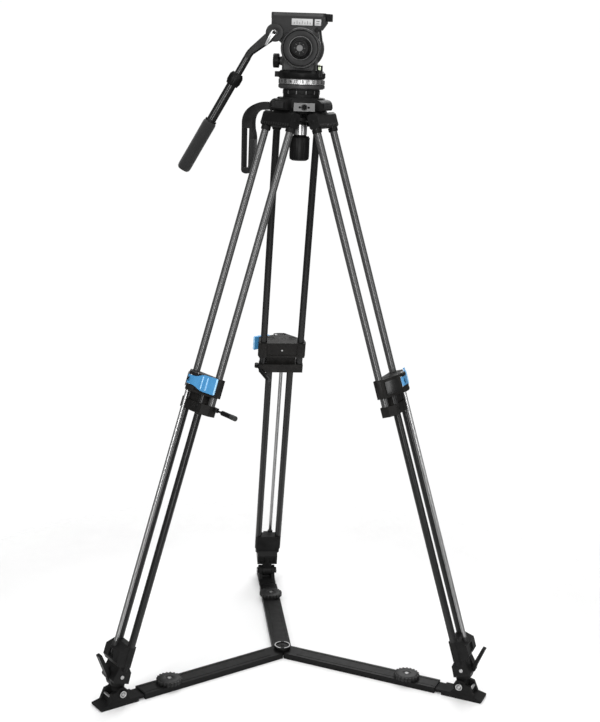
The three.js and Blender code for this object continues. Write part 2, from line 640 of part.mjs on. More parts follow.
function panBar() {
  const { x, z, r, y0, y1 } = ROSETTE;
  const start = [x - 10, BAR_Y, z - 8.5];
  const elbow = [BAR_BEND.x + 3, BAR_Y, BAR_BEND.z + 2.5];
  const route = new THREE.QuadraticBezierCurve3(
    new THREE.Vector3(...elbow),
    new THREE.Vector3(BAR_BEND.x - 2, BAR_Y, BAR_BEND.z - 1.6),
    new THREE.Vector3(...along(12)),
  );
  const ring = new THREE.Shape().absarc(0, 0, BAR_TUBE - 0.1, 0, 2 * Math.PI, false);
  const bend = solid(new THREE.ExtrudeGeometry(ring, { extrudePath: route, steps: 4, curveSegments: 7 }));
  const socket = strut(10.4, start, elbow, 14, BAR_TUBE + 0.2);
  const tube = strut(BAR_TUBE, along(11), along(215), 14);
  const boss = axleY(r, y0, y1 - GAP, x, z, 24);
  const whole = union(socket, bend, tube);
  const trimmed = whole.intersect(box(-260, 0, y0, y1 - GAP, 1000, 1360));
  return piece("pan_bar", union(boss, trimmed), "black");
}

function panBarCollar() {
  const { start, length, r } = COLLAR;
  const section = [[0, 0], [r - 3, 0], [r, 5], [r, length - 5], [r - 1.5, length], [0, length]];
  const shell = spun(section, along(start), along(start + length), 18);
  const upper = strut(BAR_TUBE + 0.5, along(start - 8), along(start + 12), 14);
  const lower = strut(GRIP_TUBE + 0.5, along(GRIP.start - 1), along(start + length + 6), 14);
  return piece("pan_bar_collar", cut(shell, upper, lower), "black");
}

function panGrip() {
  const { start, bore, r, foamStart, foamEnd, length } = GRIP;
  const section = [
    [0, 0], [GRIP_TUBE, 0], [GRIP_TUBE, foamStart], [r - 2.5, foamStart], [r, foamStart + 5],
    [r, foamEnd], [r - 3.5, length], [0, length],
  ];
  const grip = spun(section, along(start), along(start + length), 20);
  const hollow = strut(BAR_TUBE + 0.5, along(start - 13), along(bore), 14);
  return piece("pan_grip", cut(grip, hollow), "rubber");
}

const tripod = new THREE.Group();
for (const [side, azimuth] of Object.entries(LEGS)) tripod.add(leg(side, azimuth));
tripod.add(spreaderHub(), crown(), at(HANDLE_AZIMUTH, carryHandle()));
tripod.add(ballBase(), tiedownKnob(), scaleRing());
tripod.add(
  at(
    PAN, baseRing(), panHousing(), panLockKnob(), tiltCradle(), cameraPlate(), plateLever(),
    tiltDial(), counterbalanceDial(), rosetteLever(), panBar(), panBarCollar(), panGrip(),
  ),
);

export default tripod;
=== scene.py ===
"""Video tripod with a fluid head: materials, fine detail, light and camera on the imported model."""
import json
import math

import bmesh
import bpy
from mathutils import Matrix, Vector


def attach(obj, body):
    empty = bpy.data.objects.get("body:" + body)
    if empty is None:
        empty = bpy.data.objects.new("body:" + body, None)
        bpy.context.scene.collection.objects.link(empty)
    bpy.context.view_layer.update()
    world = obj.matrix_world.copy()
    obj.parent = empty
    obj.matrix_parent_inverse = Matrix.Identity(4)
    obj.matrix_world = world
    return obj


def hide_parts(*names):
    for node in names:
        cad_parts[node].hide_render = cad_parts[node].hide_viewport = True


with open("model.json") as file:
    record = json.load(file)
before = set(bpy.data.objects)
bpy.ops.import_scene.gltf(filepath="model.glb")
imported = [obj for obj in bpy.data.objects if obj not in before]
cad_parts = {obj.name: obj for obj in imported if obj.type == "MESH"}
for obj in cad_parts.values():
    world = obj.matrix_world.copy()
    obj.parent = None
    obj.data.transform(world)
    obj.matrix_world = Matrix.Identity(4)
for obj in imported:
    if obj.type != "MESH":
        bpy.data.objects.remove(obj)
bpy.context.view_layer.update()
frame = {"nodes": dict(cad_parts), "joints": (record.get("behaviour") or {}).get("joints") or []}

MM = 0.001
TURN = 2 * math.pi
CREASE = math.radians(34)  # edges sharper than this stay sharp
SAME_CORNER = 0.001  # corners of a CAD node closer than this are one corner
UPPER_T = 42  # the upper tubes stand this far to either side of the leg's middle
MID_T = 24.3  # and the middle ones this far
MID_N = 13.5  # the middle tubes stand this far out from the upper ones
TILT_Z = 1313  # height of the tilt axis
ROSETTE_X, ROSETTE_Z = -51.5, 1341  # the pan bar's rosette, in the head's frame
SIDES = ("left", "back", "right")
JOINTS = {joint["name"]: joint for joint in frame["joints"]}


# ---- places, taken from the joints ----
def basis(x, y, z, origin):
    """A frame in the row frame, from its axes and its origin."""
    return Matrix.Translation(origin) @ Matrix((x, y, z)).transposed().to_4x4()


def leg_frame(side):
    """Origin on the hinge pin, x outward, y across, z up along the leg."""
    hinge = JOINTS[f"{side}_leg_spread"]
    up = Vector(JOINTS[f"{side}_mid_slide"]["axis"])
    across = -Vector(hinge["axis"])
    return basis(across.cross(up), across, up, hinge["pos_m"])


def arm_frame(side):
    """Origin on the tripod's axis at the soles, x outward along the spreader arm."""
    outward = -Vector(JOINTS[f"{side}_arm_slide"]["axis"])
    up = Vector((0, 0, 1))
    return basis(outward, up.cross(outward), up, (0, 0, 0))


def head_frame():
    """Origin on the tripod's axis at the soles, x along the camera plate."""
    along = Vector(JOINTS["plate_slide"]["axis"])
    up = Vector((0, 0, 1))
    return basis(along, up.cross(along), up, (0, 0, 0))


def local_box(node, place):
    """Lowest and highest corner of a CAD node in a frame, in millimetres."""
    inverse = place.inverted()
    points = [inverse @ vertex.co / MM for vertex in frame["nodes"][node].data.vertices]
    low = Vector([min(point[i] for point in points) for i in range(3)])
    high = Vector([max(point[i] for point in points) for i in range(3)])
    return low, high


def shift(x=0.0, y=0.0, z=0.0):
    return Matrix.Translation((x * MM, y * MM, z * MM))


def facing(place, x, y, z, direction):
    """A frame at a point of another, with its z axis along a direction of it."""
    axis = Vector(direction).normalized()
    side = Vector((0, 0, 1)).cross(axis)
    side = side.normalized() if side.length > 0.01 else Vector((1, 0, 0))
    return place @ basis(side, axis.cross(side), axis, Vector((x, y, z)) * MM)


BOSS_AZIMUTH = math.radians(-83.5)  # seen from above, from x towards y
HANDLE_AZIMUTH = math.radians(156.5)
CENTRE = Matrix.Identity(4)
HEAD = head_frame()
LEG = {side: leg_frame(side) for side in SIDES}
ARM = {side: arm_frame(side) for side in SIDES}


# ---- shader building ----
class Shader:
    """A material made of nodes. Its coordinates are the object's own, in millimetres."""

    def __init__(self, name, colour, roughness, metallic=0.0, **sockets):
        self.material = bpy.data.materials.new(name)
        self.material.use_nodes = True
        self.tree = self.material.node_tree
        self.shader = self.tree.nodes["Principled BSDF"]
        self.set("Base Color", (*colour, 1))
        self.set("Roughness", roughness)
        self.set("Metallic", metallic)
        for socket, value in sockets.items():
            self.set(socket.replace("_", " "), value)

    def set(self, socket, value):
        self.shader.inputs[socket].default_value = value

    def node(self, kind, **settings):
        made = self.tree.nodes.new("ShaderNode" + kind)
        for key, value in settings.items():
            setattr(made, key, value)
        return made

    def link(self, source, target):
        self.tree.links.new(source, target)

    def coordinates(self, stretch=(1, 1, 1)):
        place = self.node("Mapping")
        place.inputs["Scale"].default_value = [1000 * value for value in stretch]
        self.link(self.node("TexCoord").outputs["Object"], place.inputs["Vector"])
        return place.outputs["Vector"]

    def noise(self, vector, scale=1.0, detail=3.0, roughness=0.5):
        made = self.node("TexNoise")
        made.inputs["Scale"].default_value = scale
        made.inputs["Detail"].default_value = detail
        made.inputs["Roughness"].default_value = roughness
        self.link(vector, made.inputs["Vector"])
        return made.outputs["Fac"]

    def math(self, operation, a, b=0.0):
        made = self.node("Math", operation=operation)
        for socket, value in zip(made.inputs, (a, b)):
            if isinstance(value, bpy.types.NodeSocket):
                self.link(value, socket)
            else:
                socket.default_value = value
        return made.outputs[0]

    def spread(self, value, low, high):
        """The middle half of a 0 to 1 value, spread from low to high."""
        made = self.node("MapRange")
        made.inputs["From Min"].default_value = 0.25
        made.inputs["From Max"].default_value = 0.75
        made.inputs["To Min"].default_value = low
        made.inputs["To Max"].default_value = high
        self.link(value, made.inputs["Value"])
        return made.outputs["Result"]

    def tint(self, value, dark, light, low=0.3, high=0.7):
        """The base colour, from dark to light as a value rises from low to high."""
        ramp = self.node("ValToRGB")
        first, last = ramp.color_ramp.elements
        first.position, last.position = low, high
        first.color = (*dark, 1)
        last.color = (*light, 1)
        self.link(value, ramp.inputs["Fac"])
        self.link(ramp.outputs["Color"], self.shader.inputs["Base Color"])

    def bump(self, height, strength, distance, rounding=0.45):
        """Raises the surface by a height, over edges softened by a radius in millimetres, if any."""
        made = self.node("Bump")
        made.inputs["Strength"].default_value = strength
        made.inputs["Distance"].default_value = distance * MM
        self.link(height, made.inputs["Height"])
        if rounding:
            edge = self.node("Bevel", samples=4)
            edge.inputs["Radius"].default_value = rounding * MM
            self.link(edge.outputs["Normal"], made.inputs["Normal"])
        self.link(made.outputs["Normal"], self.shader.inputs["Normal"])


def painted(name, dark, light, roughness, grain, texture=0.35, rounding=0.45, wear=0.07, **sockets):
    """Textured paint or a moulded grain: mottled colour, uneven gloss and a fine raised texture."""
    made = Shader(name, dark, roughness, **sockets)
    place = made.coordinates()
    broad = made.noise(place, 0.07, 4)
    fine = made.noise(place, 1 / grain, 2)
    mix = made.math("ADD", made.math("MULTIPLY", broad, 0.6), made.math("MULTIPLY", fine, 0.4))
    made.tint(mix, dark, light)
    made.link(made.spread(broad, roughness - wear, roughness + wear), made.shader.inputs["Roughness"])
    made.bump(fine, texture, 0.08, rounding)
    return made.material


def carbon(name, dark, light, resin):
    """Twill weave under clear resin, wrapped round the local z axis."""
    made = Shader(name, dark, 0.38, Coat_Weight=resin, Coat_Roughness=0.2, Specular_IOR_Level=0.2)
    parts = made.node("SeparateXYZ")
    made.link(made.coordinates(), parts.inputs["Vector"])
    angle = made.math("ARCTAN2", parts.outputs["Y"], parts.outputs["X"])
    round_step = made.math("FLOOR", made.math("MULTIPLY", angle, 24 / TURN))
    length_step = made.math("FLOOR", made.math("MULTIPLY", parts.outputs["Z"], 0.5))
    phase = made.math("FLOORED_MODULO", made.math("ADD", round_step, length_step), 4)
    over = made.math("LESS_THAN", phase, 1.5)
    cloud = made.noise(made.coordinates((0.1, 0.1, 0.02)), 1.0, 3)
    tone = made.math("ADD", made.math("MULTIPLY", over, 0.3), made.math("MULTIPLY", cloud, 0.7))
    made.tint(tone, dark, light, 0.2, 0.8)
    strands = made.noise(made.coordinates((3, 3, 0.3)), 1.0, 2)
    made.link(made.spread(strands, 0.3, 0.42), made.shader.inputs["Roughness"])
    made.bump(over, 0.1, 0.04, 0)
    return made.material


def brushed(name, dark, light, roughness, stretch=(1.5, 1.5, 1.5), rounding=0.2, wear=0.06):
    """Drawn or turned metal with fine lines."""
    made = Shader(name, light, roughness, 1.0)
    lines = made.noise(made.coordinates(stretch), 1.0, 3, 0.65)
    made.tint(lines, dark, light)
    made.link(made.spread(lines, roughness - wear, roughness + wear), made.shader.inputs["Roughness"])
    made.bump(lines, 0.08, 0.02, rounding)
    return made.material


def foam(name, dark, light):
    """Closed-cell foam rubber with small pores."""
    made = Shader(name, dark, 0.82, Sheen_Weight=0.25, Sheen_Roughness=0.5)
    pores = made.node("TexVoronoi")
    pores.inputs["Scale"].default_value = 1.3
    made.link(made.coordinates(), pores.inputs["Vector"])
    broad = made.noise(made.coordinates(), 0.08, 4)
    made.tint(broad, dark, light)
    made.link(made.spread(broad, 0.74, 0.92), made.shader.inputs["Roughness"])
    made.bump(pores.outputs["Distance"], 0.5, 0.2)
    return made.material


def grey(value, warm=0.0):
    return (value * (1 + warm), value, value * (1 - warm))


M = {
    "casting": painted("black_casting", grey(0.004), grey(0.011), 0.5, 0.5, Specular_IOR_Level=0.12),
    "plastic": painted("black_plastic", grey(0.003), grey(0.008), 0.42, 0.35, Specular_IOR_Level=0.14),
    "gloss": painted("gloss_black", grey(0.005), grey(0.009), 0.26, 6, texture=0.02, rounding=0, wear=0.01),
    "lock": painted("lock_casting", grey(0.006, 0.04), grey(0.018, 0.06), 0.5, 0.6, texture=0.5,
                    Specular_IOR_Level=0.15),
    "grey": painted("grey_paint", grey(0.026), grey(0.05), 0.42, 0.4, Specular_IOR_Level=0.25),
    "dark_grey": painted("dark_grey_paint", grey(0.01), grey(0.022), 0.42, 0.4, Specular_IOR_Level=0.2),
    "boss": painted("boss_paint", grey(0.1), grey(0.16), 0.4, 0.5, texture=0.3),
    # Pale print on the cradle plates and dial marks; on the hub's rim the same paint is a painted
    # highlight.
    "pale_print_and_highlight": painted("print_and_painted_highlight", grey(0.42), grey(0.55), 0.5, 0.8, texture=0.08),
    "blue": painted("blue_plastic", (0.055, 0.25, 0.5), (0.08, 0.31, 0.6), 0.33, 0.8, texture=0.12),
    # Pale blue: painted highlight on the blue quick lever's rounded ridges and tip.
    "highlight_blue": painted("painted_blue_highlight_edge", (0.3, 0.58, 0.85), (0.38, 0.66, 0.92), 0.3, 0.8, texture=0.1),
    "arm": painted("anodised_arm", grey(0.003), grey(0.007), 0.42, 0.3, Specular_IOR_Level=0.12),
    "sole": painted("sole_rubber", grey(0.004), grey(0.01), 0.62, 0.7, Specular_IOR_Level=0.12),
    "foam": foam("grip_foam", grey(0.003), grey(0.008)),
    "carbon": carbon("carbon_tube", grey(0.028), grey(0.075), 0.9),
    # Darker carbon: the middle tubes' own tone, and painted shade on the back leg's upper tubes.
    "darker_carbon_and_painted_shade": carbon("darker_carbon_tube_and_painted_shade", grey(0.004), grey(0.012), 0.3),
    "silver": brushed("bright_aluminium", grey(0.38), grey(0.42), 0.3, (0.02, 0.02, 0.02), 0, 0.01),
    "steel": brushed("steel_screw", grey(0.35), grey(0.5), 0.3),
    "ring": brushed("scale_aluminium", grey(0.45), grey(0.6), 0.4, (0.2, 0.2, 3)),
    "vial": painted("level_vial", (0.62, 0.7, 0.5), (0.75, 0.82, 0.62), 0.1, 2.0, texture=0.02),
}


# ---- shapes, in millimetres ----
def lathe(profile, sides=48):
    """A profile of (radius, height) points turned round z, from axis to axis or as a closed loop."""
    closed = profile[0][0] > 0
    points, faces = [], []
    for radius, height in profile:
        for k in range(sides):
            angle = TURN * k / sides
            points.append((radius * math.cos(angle), radius * math.sin(angle), height))
    rows = len(profile) if closed else len(profile) - 1
    for row in range(rows):
        following = (row + 1) % len(profile)
        for k in range(sides):
            after = (k + 1) % sides
            one, other = row * sides, following * sides
            faces.append((one + k, one + after, other + after, other + k))
    return points, faces


def disc(radius, low, high, sides=40, edge=0.4):
    return lathe([(0, low), (radius - edge, low), (radius, low + edge), (radius, high - edge),
                  (radius - edge, high), (0, high)], sides)


def prism(outline, low, high):
    """An outline of (x, y) points raised from low to high."""
    count = len(outline)
    points = [(x, y, z) for z in (low, high) for x, y in outline]
    faces = [tuple(range(count))[::-1], tuple(range(count, 2 * count))]
    for k in range(count):
        after = (k + 1) % count
        faces.append((k, after, count + after, count + k))
    return points, faces


def block(x0, x1, y0, y1, z0, z1):
    return prism([(x0, y0), (x1, y0), (x1, y1), (x0, y1)], z0, z1)


def curve(start, first, second, end, steps=10):
    """Points of a Bezier curve."""
    points = []
    for k in range(steps + 1):
        t = k / steps
        weights = ((1 - t) ** 3, 3 * t * (1 - t) ** 2, 3 * t * t * (1 - t), t ** 3)
        corners = (start, first, second, end)
        points.append(tuple(sum(w * c[i] for w, c in zip(weights, corners)) for i in range(2)))
    return points


def ring_block(inner, outer, width, low, high, turn):
    """A block at a fraction of a turn round z, from one radius to another."""
    shape = block(inner, outer, -width / 2, width / 2, low, high)
    return moved(shape, Matrix.Rotation(TURN * turn, 4, "Z"))


def arc_band(inner, outer, start, end, low, high, steps=24):
    """Part of a flat ring between two angles."""
    angles = [start + (end - start) * k / steps for k in range(steps + 1)]
    outline = [(outer * math.cos(a), outer * math.sin(a)) for a in angles]
    outline += [(inner * math.cos(a), inner * math.sin(a)) for a in reversed(angles)]
    return prism(outline, low, high)


def moved(shape, matrix):
    """A shape moved by a matrix whose translation is in metres."""
    points, faces = shape
    return [tuple((matrix @ (Vector(point) * MM)) / MM) for point in points], faces


def joined(*shapes):
    points, faces = [], []
    for some, polygons in shapes:
        start = len(points)
        points.extend(some)
        faces.extend(tuple(start + k for k in polygon) for polygon in polygons)
    return points, faces


def piece(name, shape, place, body, material, replaced=(), bevel=0.0):
    """A detail piece, drawn in millimetres in a frame, on a CAD body."""
    points, faces = shape
    mesh = bpy.data.meshes.new(name)
    mesh.from_pydata([Vector(point) * MM for point in points], [], faces)
    tidy = bmesh.new()
    tidy.from_mesh(mesh)
    bmesh.ops.remove_doubles(tidy, verts=tidy.verts, dist=1e-6)
    bmesh.ops.dissolve_degenerate(tidy, edges=tidy.edges, dist=1e-7)
    bmesh.ops.recalc_face_normals(tidy, faces=tidy.faces)
    tidy.to_mesh(mesh)
    tidy.free()
    mesh.materials.append(M[material])
    for polygon in mesh.polygons:
        polygon.use_smooth = True
    made = bpy.data.objects.new(name, mesh)
    bpy.context.scene.collection.objects.link(made)
    made.matrix_world = place
    if bevel:
        soften = made.modifiers.new("soften", "BEVEL")
        soften.width = bevel * MM
        soften.segments = 2
        soften.angle_limit = math.radians(30)
    made.modifiers.new("edges", "EDGE_SPLIT").split_angle = CREASE
    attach(made, body)
    if replaced:
        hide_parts(*replaced)


# ---- CAD nodes that stay ----
def modifier_tree(name):
    """A node tree for a modifier, with the sockets where its geometry comes in and goes out."""
    tree = bpy.data.node_groups.new(name, "GeometryNodeTree")
    for way in ("INPUT", "OUTPUT"):
        tree.interface.new_socket("Geometry", in_out=way, socket_type="NodeSocketGeometry")
    return tree, tree.nodes.new("NodeGroupInput").outputs[0], tree.nodes.new("NodeGroupOutput").inputs[0]


def smooth_shading():
    """Shades a CAD node smoothly in place of the flat normals that it comes with."""
    tree, start, end = modifier_tree("smooth_shading")
    drop = tree.nodes.new("GeometryNodeRemoveAttribute")
    drop.inputs["Name"].default_value = "custom_normal"
    smooth = tree.nodes.new("GeometryNodeSetShadeSmooth")
    tree.links.new(start, drop.inputs["Geometry"])
    tree.links.new(drop.outputs["Geometry"], smooth.inputs["Geometry"])
    tree.links.new(smooth.outputs["Geometry"], end)
    return tree


def second_finish(material, test):
    """Gives the faces that pass a test another material."""
    tree, start, end = modifier_tree("second_finish")
    paint = tree.nodes.new("GeometryNodeSetMaterial")
    paint.inputs["Material"].default_value = M[material]
    tree.links.new(start, paint.inputs["Geometry"])
    tree.links.new(test(tree), paint.inputs["Selection"])
    tree.links.new(paint.outputs["Geometry"], end)
    return tree


def calculated(tree, kind, operation, *values):
    """The result of a math node, from sockets and plain values."""
    made = tree.nodes.new(kind)
    made.operation = operation
    for socket, value in zip(made.inputs, values):
        if isinstance(value, bpy.types.NodeSocket):
            tree.links.new(value, socket)
        else:
            socket.default_value = value
    return next(socket for socket in made.outputs if socket.enabled)


def keep(name, material, second=None, test=None):
    """A CAD node's material and smooth shading, by its slot and modifiers. Its mesh stays as it is."""
    node = frame["nodes"][name]
    node.material_slots[0].material = M[material]
    node.modifiers.new("smooth", "NODES").node_group = SMOOTH
    if second:
        node.modifiers.new("second", "NODES").node_group = second_finish(second, test)
    node.modifiers.new("weld", "WELD").merge_threshold = SAME_CORNER * MM
    node.modifiers.new("edges", "EDGE_SPLIT").split_angle = CREASE


SMOOTH = smooth_shading()
LEG_FINISHES = {
    "leg_yoke": "casting", "lock_housing": "lock", "quick_lever": "blue", "clamp_block": "lock",
    "clamp_lever": "plastic", "mid_stage": "casting", "foot_stage": "casting",
    "foot_lever": "plastic", "foot_pad": "sole", "spreader_arm": "arm",
}
HEAD_FINISHES = {
    "ball_base": "casting", "tiedown_knob": "plastic",
    "base_ring": "plastic", "pan_housing": "grey", "pan_lock_knob": "plastic", "tilt_cradle": "dark_grey",
    "camera_plate": "casting", "plate_lever": "plastic", "counterbalance_dial": "plastic",
    "pan_bar_clamp_lever": "silver", "pan_bar": "gloss", "pan_bar_collar": "plastic",
    "spreader_hub": "plastic",
}


# ---- legs ----
def tubes(side):
    """The upper pair of carbon tubes, the control rod, and sleeves over the middle pair above their box."""
    place = LEG[side]
    for letter in "ab":
        node = f"{side}_upper_tube_{letter}"
        low, high = local_box(node, place)
        middle = (low + high) / 2
        radius, bore = 7.5, 5.9
        wall = lathe([(bore, low.z), (radius, low.z), (radius, high.z), (bore, high.z)], 56)
        # The back leg's upper tubes take the darker carbon as painted shade; the three legs are alike.
        weave = "darker_carbon_and_painted_shade" if side == "back" else "carbon"
        piece(f"{node}_shell", wall, place @ shift(middle.x, middle.y), f"{side}_upper_leg", weave, [node])
    low, high = local_box(f"{side}_control_rod", place)
    middle = (low + high) / 2
    bar = disc(4, low.z, high.z, 40, 0.6)
    node = f"{side}_control_rod"
    piece(f"{node}_bar", bar, place @ shift(middle.x, middle.y), f"{side}_mid_leg", "silver", [node])
    _, top = local_box(f"{side}_mid_stage", place)
    for letter, across in (("a", -MID_T), ("b", MID_T)):
        sleeve = lathe([(7.2, -1098), (7.56, -1098), (7.56, top.z - 0.6), (7.2, top.z - 0.6)], 56)
        spot = place @ shift(MID_N, across)
        piece(f"{side}_middle_tube_{letter}", sleeve, spot, f"{side}_mid_leg", "darker_carbon_and_painted_shade")


def screw(name, place, radius, body, material="steel", height=1.0):
    """A round head with a socket, standing on the place's xy plane."""
    socket = radius * 0.45
    shape = lathe([(0, height * 0.35), (socket, height * 0.35), (socket, height), (radius * 0.85, height),
                   (radius, height * 0.6), (radius, -0.3), (0, -0.3)], 24)
    piece(name, shape, place, body, material)


def lock_details(side):
    place = LEG[side]
    leg = f"{side}_upper_leg"
    lever = f"{side}_quick_lever"
    # The lever's ridges and tip are pale blue: painted highlight on the blue lever.
    ridges = []
    for n, t in ((31.3, 33.5), (27.2, 44.5)):
        ridges.append(moved(disc(1.3, -557.5, -531.5, 16, 0.6), shift(n, t)))
    piece(f"{lever}_ridges", joined(*ridges), place, lever, "highlight_blue")
    tip = lathe([(0, -560.6), (1.9, -560.2), (2.2, -559), (2.2, -529), (1.9, -528), (0, -527.7)], 20)
    piece(f"{lever}_tip", tip, place @ shift(17.6, 62.2), lever, "highlight_blue")
    # A black disc at the lever's pivot end: painted shade standing in for the dark hole there.
    eye = facing(place, 39.2, -3, -545, (1, 0.1, 0))
    socket = lathe([(0, -1), (4.2, -1), (4.2, 0.7), (3.2, 0.7), (3.2, 0.2), (0, 0.2)], 24)
    piece(f"{lever}_socket", socket, eye, lever, "plastic")
    for k, (y, z) in enumerate(((-38, -534), (38, -534), (-38, -562), (38, -562), (0, -548))):
        seat = facing(place, -8.9 if k < 4 else -7.9, y, z, (-1, 0, 0))
        screw(f"{side}_lock_screw_{k}", seat, 2.4, leg, "plastic" if k < 4 else "steel")
    for k, y in enumerate((-UPPER_T, UPPER_T)):
        sleeve = lathe([(8.2, -566.6), (11.4, -566.6), (12, -565.6),
                        (12, -530.4), (11.4, -529.4), (8.2, -529.4)], 40)
        piece(f"{side}_lock_sleeve_{k}", sleeve, place @ shift(0, y), leg, "lock")
    panel = [(12.6, -47.2), (31.5, -20.4), (32.6, -21.2), (13.7, -48.0)]
    piece(f"{side}_lock_panel", prism(panel, -562, -534), place, leg, "gloss", bevel=0.3)
    screw(f"{side}_lock_top_screw", facing(place, 30, 12, -529.1, (0, 0, 1)), 3.0, leg)
    for k, y in enumerate((-22, 22)):
        screw(f"{side}_clamp_screw_{k}", facing(place, 20.8, y, -595.5, (1, 0, 0)), 3.2, leg, "plastic")
    low, high = local_box(f"{side}_clamp_lever", place)
    pivot = Vector((-5, 55.6, -590))
    middle = (low + high) / 2
    away = Vector((middle.x - pivot.x, middle.y - pivot.y, 0)).normalized()
    end = facing(place, *(pivot + away * 46), away)
    cap = lathe([(0, 23.8), (4.3, 23.6), (5.25, 22.6), (5.25, 8), (4.8, 7.2), (4.8, 1), (0, 1)], 28)
    piece(f"{side}_clamp_lever_end", cap, end, f"{side}_clamp_lever", "grey")


def yoke_details(side):
    """Bolt heads at the ends of the bar and the row of teeth under its outer edge."""
    place = LEG[side]
    leg = f"{side}_upper_leg"
    teeth = [block(11.0, 11.7, -46 + 8 * k, -41 + 8 * k, -11.2, -5.5) for k in range(12)]
    piece(f"{side}_yoke_teeth", joined(*teeth), place, leg, "dark_grey", bevel=0.2)
    for k, sign in enumerate((-1, 1)):
        end = facing(place, 0, sign * 51.5, 2, (0, sign, 0))
        screw(f"{side}_yoke_bolt_{k}", end, 4.2, leg, "plastic")
        collar = lathe([(7.6, -21), (9.4, -20.5), (9.8, -19), (9.8, -12.6), (7.6, -12.6)], 40)
        piece(f"{side}_yoke_collar_{k}", collar, place @ shift(0, sign * UPPER_T), leg, "casting")


def box_details(side):
    place = LEG[side]
    collar = lathe([(4.15, -1108), (6.2, -1108), (6.2, -1099), (5.4, -1097.5), (4.15, -1097.5)], 28)
    box = f"{side}_mid_leg"
    piece(f"{side}_rod_collar", collar, place @ shift(33, -6), box, "dark_grey")
    for k, (y, z) in enumerate(((-22, -1103), (22, -1103), (-22, -1136), (22, -1136))):
        screw(f"{side}_box_screw_{k}", facing(place, 4.1, y, z, (-1, 0, 0)), 2.2, box, "plastic")
    screw(f"{side}_box_eye", facing(place, 37.1, 0, -1127, (1, 0, 0)), 3.2, box, "plastic")
    for k, sign in enumerate((-1, 1)):
        end = facing(place, 14, sign * 24.4, -1163, (0, sign, 0))
        screw(f"{side}_neck_bolt_{k}", end, 4.0, f"{side}_lower_leg")


def foot_details(side):
    place = ARM[side]
    foot = f"{side}_foot"
    axle = Vector(JOINTS[f"{side}_foot_pivot"]["pos_m"])
    reach = math.hypot(axle.x, axle.y) / MM
    for k, sign in enumerate((-1, 1)):
        end = facing(place, reach, sign * 23.9, 28, (0, sign, 0))
        ring = lathe([(4.6, -0.2), (7.3, -0.2), (7.3, 0.7), (6.6, 1.1), (5.2, 1.1), (4.6, 0.6)], 36)
        piece(f"{side}_axle_ring_{k}", ring, end, foot, "steel")
        screw(f"{side}_axle_screw_{k}", end, 3.4, foot, "steel", 0.8)
    ribs = [block(437 + 4 * k, 438.6 + 4 * k, -18, 18, 11.3 - 1.15 * k, 12.1 - 1.4 * k) for k in range(6)]
    piece(f"{side}_toe_ribs", joined(*ribs), place, foot, "sole", bevel=0.2)
    pin = lathe([(0, -13.6), (2.6, -13.6), (2.9, -13.2), (2.9, 13.2), (2.6, 13.6), (0, 13.6)], 20)
    piece(f"{side}_toe_pin", pin, facing(place, reach + 22.5, 0, 23.5, (0, 1, 0)), foot, "steel")
    treads = [block(384 + 13 * k, 392 + 13 * k, -19, 19, 0.05, 0.6) for k in range(6)]
    piece(f"{side}_tread", joined(*treads), place, foot, "sole")


def arm_details(side):
    place = ARM[side]
    knob = f"{side}_arm_knob"
    low, high = local_box(f"{side}_spreader_knob", place)
    middle = (low + high) / 2
    scallops, radius = 20, (high.x - low.x) / 2
    rim = []
    for k in range(scallops * 8):
        angle = TURN * k / (scallops * 8)
        r = radius - 1.7 + 1.7 * max(-1, min(1, 1.6 * math.cos(scallops * angle) + 0.3))
        rim.append((r * math.cos(angle), r * math.sin(angle)))
    skirt = prism(rim, low.z, high.z - 1.2)
    crown = lathe([(0, low.z + 1), (radius - 4, low.z + 1), (radius - 4, high.z - 1),
                   (radius - 6.5, high.z), (8.6, high.z), (7.4, high.z - 1.6), (0, high.z - 1.6)], 64)
    spot = place @ shift(middle.x, middle.y)
    grip = joined(skirt, crown)
    piece(f"{knob}_grip", grip, spot, knob, "dark_grey", [f"{side}_spreader_knob"], bevel=0.35)
    screw(f"{knob}_screw", spot @ shift(z=high.z - 1.6), 4.2, knob, "steel", 1.5)
    _, top = local_box(f"{side}_spreader_arm", place)
    lip = block(357, 359, -18, 18, top.z - 0.2, top.z + 0.35)
    piece(f"{side}_arm_lip", lip, place, f"{side}_arm", "arm", bevel=0.15)


def hub_details():
    """A bright ring in two arcs round the cap that joins the arms: a raised rim, whose pale paint and gaps
    are a painted highlight.
    """
    _, high = local_box("spreader_hub", CENTRE)
    gap = math.radians(14)
    starts = (-math.pi / 2 + gap, math.pi / 2 + gap)
    arcs = [arc_band(15.4, 17.3, a, a + math.pi - 2 * gap, high.z - 0.1, high.z + 0.35) for a in starts]
    piece("hub_ring", joined(*arcs), CENTRE, "back_arm", "pale_print_and_highlight", bevel=0.15)
    screw("hub_screw", shift(z=high.z - 2), 4.6, "back_arm", "plastic", 1.2)


for side in SIDES:
    for part, material in LEG_FINISHES.items():
        keep(f"{side}_{part}", material)
    tubes(side)
    lock_details(side)
    yoke_details(side)
    box_details(side)
    foot_details(side)
    arm_details(side)
for part, material in HEAD_FINISHES.items():
    keep(part, material)
hub_details()


